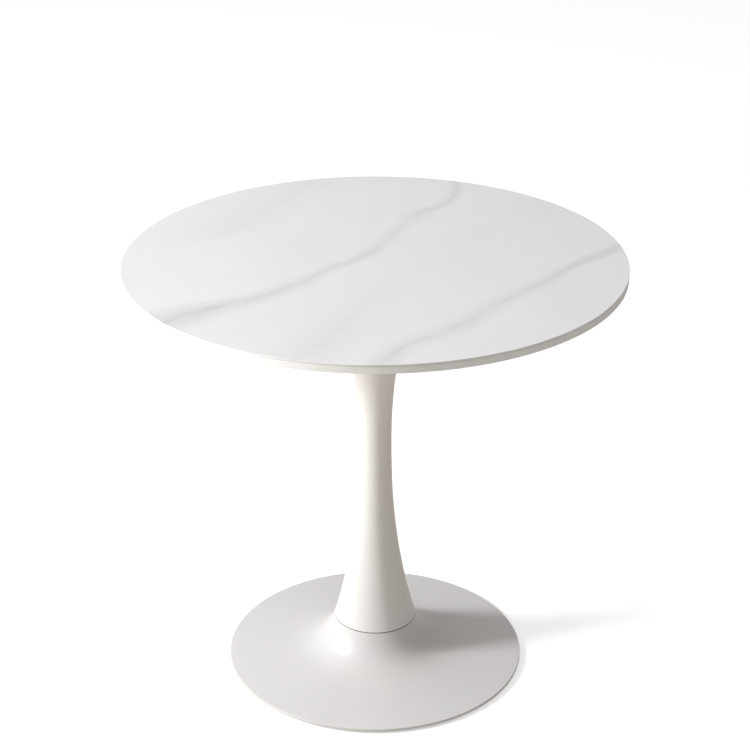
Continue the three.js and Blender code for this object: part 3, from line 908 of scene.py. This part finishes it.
class TABLE_OT_base(bpy.types.Operator):
    """Make the base's steel shell, the iron weight in it and the rubber ring under it"""

    bl_idname = "table.base"
    bl_label = "Base"

    def execute(self, context):
        rounding = context.scene.table_metal.edge_rounding
        dish = self.dish(rounding)
        piece("base_dish", dish, shaded_base_coating(), "table", "white_coating", "base_shell")
        weight = turned("iron_weight", softened(self.weight_outline(), CAST_ROUNDING), MIDDLE)
        piece("iron_weight", weight, made_once(cast_iron), "table", "iron", "base_weight")
        ring = turned("standing_ring", softened(self.ring_outline(), RING_ROUNDING), WIDE)
        piece("standing_ring", ring, made_once(moulded_rubber), "table", "rubber", "floor_ring")
        return {"FINISHED"}

    def dish(self, rounding):
        """The flared shell, with a flat flange round the hole in its neck and a lip at its edge."""
        low, high = heights_of("base_shell")
        edge = radius_of("base_shell")
        lip = edge - SHELL_THICKNESS
        flange = high - SHELL_THICKNESS
        outside = shell_curve(neck_radius(), edge, 48, 0)
        inside = shell_curve_below(flange, lip, 32, SHELL_THICKNESS)[:-1]
        under = shell_point(lip, 0)[1] - SHELL_THICKNESS
        outline = [(NECK_HOLE_RADIUS, flange)] + inside + [(lip, under), (lip, low), (edge, low)]
        outline += outside[::-1] + [(NECK_HOLE_RADIUS, high)]
        return turned("base_dish", softened(outline, rounding), WIDE)

    def weight_outline(self):
        """The weight follows the shell's inside and leaves a chamber for the clamp."""
        low, high = heights_of("base_weight")
        chamber, edge = radii_at("base_weight", low)
        bore = radii_at("base_weight", high)[0]
        chamber_top = heights_of("clamp_washer")[1] + CONTACT_GAP
        start = edge + SKIRT_SLOPE * (SHELL_THICKNESS + WEIGHT_GAP)
        outside = shell_curve_below(high, start, 24, SHELL_THICKNESS + WEIGHT_GAP)
        hollow = [(bore, high), (bore, chamber_top), (chamber, chamber_top)]
        return [(chamber, low), (edge, low)] + outside[::-1] + hollow

    def ring_outline(self):
        """The ring's foot has two shallow grooves, 1 mm deep, that keep it from sliding."""
        low = heights_of("floor_ring")[0]
        inner, outer = radii_at("floor_ring", low)
        under = shell_point(outer, SHELL_THICKNESS)[1] - 2 * CONTACT_GAP
        inner_top = heights_of("floor_ring")[1] - CONTACT_GAP
        foot = [(inner, low)]
        for middle in (inner + (outer - inner) / 3, outer - (outer - inner) / 3):
            foot += [(middle - 1 * MM, low), (middle - 0.6 * MM, low + 1 * MM)]
            foot += [(middle + 0.6 * MM, low + 1 * MM), (middle + 1 * MM, low)]
        return foot + [(outer, low), (outer, under), (inner, inner_top)]


def hexagon_nut(name, node, flats, bore, pitch, facets=SMALL):
    """A hexagonal nut with turned-down corners and a threaded bore."""
    low, high = heights_of(node)
    turned_down = 0.12 * flats
    # How far along the turned-down end, and the circle there as a share of the flats
    circles = [(0.0, 0.94), (0.25, 0.985), (0.5, 1.03), (0.75, 1.08), (1.0, 1.16)]
    sides = [(chamfered_hexagon(flats, flats / 2 * size), turned_down * way) for way, size in circles]
    outline = [(bore, low)]
    outline += [(side, low + way) for side, way in sides]
    outline += [(side, high - way) for side, way in reversed(sides)]
    outline += [(bore, high)]
    outline += threaded_stretch(bore, bore - 0.2 * MM, pitch, high - 0.6 * MM, low + 0.6 * MM)
    return turned(name, outline, facets, centre_of(node))


class TABLE_OT_clamp(bpy.types.Operator):
    """Make the nut, spring washer and washer that clamp the tie rod under the weight"""

    bl_idname = "table.clamp"
    bl_label = "Clamp"

    def execute(self, context):
        zinc = made_once(zinc_plated_steel)
        low, high = heights_of("clamp_washer")
        inner, outer = radii_at("clamp_washer", low)
        outline = softened(band_outline(inner, outer, low, high), WASHER_ROUNDING)
        washer = turned("flat_washer", outline, FINE)
        piece("flat_washer", washer, zinc, "table", "zinc_steel", "clamp_washer")
        low, high = heights_of("clamp_spring_washer")
        inner, outer = radii_at("clamp_spring_washer", low)
        outline = softened(band_outline(inner, outer, low, high), SPRING_ROUNDING)
        split = turned("split_washer", outline, FINE, slit=3)
        piece("split_washer", split, zinc, "table", "zinc_steel", "clamp_spring_washer")
        nut = hexagon_nut("hexagon_nut", "clamp_nut", ROD_NUT_FLATS, ROD_HOLE, M12[2], FINE)
        piece("hexagon_nut", nut, zinc, "table", "zinc_steel", "clamp_nut")
        return {"FINISHED"}


class TABLE_OT_glides(bpy.types.Operator):
    """Make the levelling glides: a welded nut, a threaded stud and a pad at each corner"""

    bl_idname = "table.glides"
    bl_label = "Levelling glides"

    def execute(self, context):
        zinc = made_once(zinc_plated_steel)
        for number in range(1, len(numbered("glide_pad_")) + 1):
            node = f"glide_nut_{number}"
            nut = hexagon_nut(f"weld_nut_{number}", node, GLIDE_NUT_FLATS, STUD_HOLE, M8[2])
            piece(nut.name, nut, zinc, "table", "zinc_steel", node)
            stud = self.stud(f"levelling_stud_{number}", f"glide_stud_{number}")
            piece(stud.name, stud, zinc, f"stud_{number}", "zinc_steel", f"glide_stud_{number}")
            pad = self.pad(f"levelling_pad_{number}", f"glide_pad_{number}", f"glide_stud_{number}")
            piece(pad.name, pad, made_once(moulded_nylon), f"pad_{number}", "nylon", f"glide_pad_{number}")
        return {"FINISHED"}

    def stud(self, name, node):
        """An M8 stud with a thin foot and a 4 mm hexagonal socket from below."""
        low, high = heights_of(node)
        foot = 0.5 * MM
        ease = 0.1 * MM
        key = hexagon(KEY_FLATS)
        flange = radius_of(node)
        outline = [(0, low + 3.1 * MM), (key, low + 3 * MM), (key, low)]
        outline += [(flange - ease, low), (flange, low + ease)]
        outline += [(flange, low + foot - ease), (flange - ease, low + foot), (M8[0], low + foot)]
        outline += threaded_stretch(*M8, low + foot + 0.9 * MM, high - 0.5 * MM)
        outline += [(M8[0] - ease, high), (0, high)]
        return turned(name, outline, SMALL, centre_of(node))

    def pad(self, name, node, stud):
        """A moulded pad whose lip holds the stud's foot."""
        low, high = heights_of(node)
        edge = radius_of(node)
        key_hole, lip = 2.7 * MM, 4.3 * MM
        pocket = radius_of(stud) + CONTACT_GAP
        floor = heights_of(stud)[0] - CONTACT_GAP
        ceiling = high - 0.6 * MM
        outline = [(key_hole, low), (edge, low), (edge, high), (lip, high), (lip, ceiling)]
        outline += [(pocket, ceiling), (pocket, floor), (key_hole, floor)]
        return turned(name, softened(outline, PAD_ROUNDING), SMALL, centre_of(node))


class TABLE_OT_studio(bpy.types.Operator):
    """Make the floor, the backdrop, the lights and the camera"""

    bl_idname = "table.studio"
    bl_label = "Studio"

    def execute(self, context):
        self.floor_and_backdrop()
        self.softbox(context.scene.table_studio)
        self.dome_of_light()
        self.camera()
        context.scene.view_settings.view_transform = "Standard"
        return {"FINISHED"}

    def floor_and_backdrop(self):
        """A pale floor, and a white dome that only the camera sees.
        The camera sees the floor white, and the table is lit by a warmer, dimmer one."""
        radius, thickness, gap = 30, 20 * MM, 0.5 * MM
        top = CAD_BOX[0].z - gap
        bottom = CAD_BOX[0].z - thickness
        material = bpy.data.materials.new("studio_floor")
        tree = emptied(material)
        seen = add(tree, "ShaderNodeLightPath").outputs["Is Camera Ray"]
        paint = {FACTOR: seen, FIRST: opaque(linear("DAD3C9")), SECOND: opaque(linear("E1E1E1"))}
        finish_material(
            material,
            tree,
            Base_Color=add(tree, MIX, paint, data_type="RGBA"),
            Roughness=0.9,
            Specular_IOR_Level=0.0,
            Emission_Color=opaque(linear("FFFFFF")),
            Emission_Strength=add(tree, MATHS, {0: seen, 1: 0.5}, operation="MULTIPLY"),
        )
        outline = [(0, bottom), (radius, bottom), (radius, top), (0, top)]
        self.stage_piece("studio_floor", turned("studio_floor", outline, 64), material)
        glow = bpy.data.materials.new("studio_backdrop")
        tree = emptied(glow)
        light = add(tree, "ShaderNodeEmission", {"Color": opaque(linear("FFFFFF")), "Strength": 1.05})
        add(tree, "ShaderNodeOutputMaterial", {"Surface": light})
        reach = radius * 0.98
        turns = [math.radians(-90 + 7.5 * i) for i in range(1, 24)]
        dome = [(0, -reach)] + [(reach * math.cos(t), reach * math.sin(t)) for t in turns] + [(0, reach)]
        backdrop = self.stage_piece("studio_backdrop", turned("studio_backdrop", dome, 64), glow)
        backdrop.visible_diffuse = False
        backdrop.visible_glossy = False
        backdrop.visible_transmission = False
        backdrop.visible_shadow = False

    def stage_piece(self, name, mesh, material):
        """A piece of the studio, which isn't part of the table."""
        made = bpy.data.objects.new(name, mesh)
        bpy.context.scene.collection.objects.link(made)
        mesh.materials.append(material)
        return made

    def softbox(self, settings):
        """A tall softbox on the left, aimed at the middle of the column."""
        light = bpy.data.lights.new("key_softbox", "AREA")
        light.shape = "RECTANGLE"
        light.size, light.size_y = 0.8, 1.0
        light.energy = settings.key_power
        key = bpy.data.objects.new("key_softbox", light)
        bpy.context.scene.collection.objects.link(key)
        flat = math.cos(settings.key_elevation)
        left = -flat * math.cos(settings.key_azimuth)
        front = -flat * math.sin(settings.key_azimuth)
        towards = Vector((left, front, math.sin(settings.key_elevation)))
        aim = Vector((0, 0, 0.4))
        key.location = aim + towards * settings.key_distance
        key.rotation_euler = towards.to_track_quat("Z", "Y").to_euler()

    def dome_of_light(self):
        """A dim dome that is brighter on the left, warm below, and bright straight overhead."""
        world = bpy.data.worlds.new("studio_dome")
        bpy.context.scene.world = world
        tree = emptied(world)
        place = add(tree, "ShaderNodeTexCoord").outputs["Generated"]
        way = add(tree, "ShaderNodeSeparateXYZ", {0: place})
        across, up = way.outputs["X"], way.outputs["Z"]
        side = add(tree, RANGE, {"Value": across, "From Min": -1.0})
        over = add(tree, RANGE, {"Value": up, "From Min": 0.75, "From Max": 0.95})
        height = add(tree, RANGE, {"Value": up, "From Min": -0.25, "From Max": 0.15})
        walls = {FACTOR: side, FIRST: opaque(linear("A2A2A4")), SECOND: opaque(linear("6C6A69"))}
        walls = add(tree, MIX, walls, data_type="RGBA")
        ground = {FACTOR: side, FIRST: opaque(linear("C8C5C2")), SECOND: opaque(linear("C5BCAD"))}
        ground = add(tree, MIX, ground, data_type="RGBA")
        colour = add(tree, MIX, {FACTOR: height, FIRST: ground, SECOND: walls}, data_type="RGBA")
        # The overhead light is brighter than white
        overhead = (1.35, 1.35, 1.35, 1.0)
        colour = add(tree, MIX, {FACTOR: over, FIRST: colour, SECOND: overhead}, data_type="RGBA")
        sky = add(tree, "ShaderNodeBackground", {"Color": colour, "Strength": 1.0})
        add(tree, "ShaderNodeOutputWorld", {"Surface": sky})

    def camera(self):
        """A long lens in front of the table, 1.87 m up and looking down at it."""
        data = bpy.data.cameras.new("camera")
        data.lens = 94.685
        data.sensor_width = 36
        made = bpy.data.objects.new("camera", data)
        bpy.context.scene.collection.objects.link(made)
        dip = 0.434
        made.location = (0, -2.904, 1.870)
        made.rotation_euler = (math.pi / 2 - dip, 0, 0)
        bpy.context.scene.camera = made


class TABLE_PT_panel(bpy.types.Panel):
    """Lists the table's settings and the pieces that can be made"""

    bl_label = "Round pedestal table"
    bl_idname = "TABLE_PT_panel"
    bl_space_type = "VIEW_3D"
    bl_region_type = "UI"
    bl_category = "Table"

    def draw(self, context):
        for group in (context.scene.table_top, context.scene.table_metal, context.scene.table_studio):
            box = self.layout.box()
            for name in group.__annotations__:
                box.prop(group, name)
        for operator in OPERATORS:
            self.layout.operator(operator.bl_idname)


OPERATORS = (
    TABLE_OT_studio,
    TABLE_OT_stone_slab,
    TABLE_OT_board_and_edging,
    TABLE_OT_top_fixings,
    TABLE_OT_column,
    TABLE_OT_base,
    TABLE_OT_clamp,
    TABLE_OT_glides,
)
GROUPS = {"table_top": TopSettings, "table_metal": MetalSettings, "table_studio": StudioSettings}


def register():
    for group in GROUPS.values():
        bpy.utils.register_class(group)
    for name, group in GROUPS.items():
        setattr(bpy.types.Scene, name, PointerProperty(type=group))
    for operator in OPERATORS:
        bpy.utils.register_class(operator)
    bpy.utils.register_class(TABLE_PT_panel)


def unregister():
    bpy.utils.unregister_class(TABLE_PT_panel)
    for operator in reversed(OPERATORS):
        bpy.utils.unregister_class(operator)
    for name in GROUPS:
        delattr(bpy.types.Scene, name)
    for group in reversed(GROUPS.values()):
        bpy.utils.unregister_class(group)


def main():
    register()
    bpy.ops.table.studio()
    bpy.ops.table.stone_slab()
    bpy.ops.table.board_and_edging()
    bpy.ops.table.top_fixings()
    bpy.ops.table.column()
    bpy.ops.table.base()
    bpy.ops.table.clamp()
    bpy.ops.table.glides()


if __name__ == "__main__":
    main()
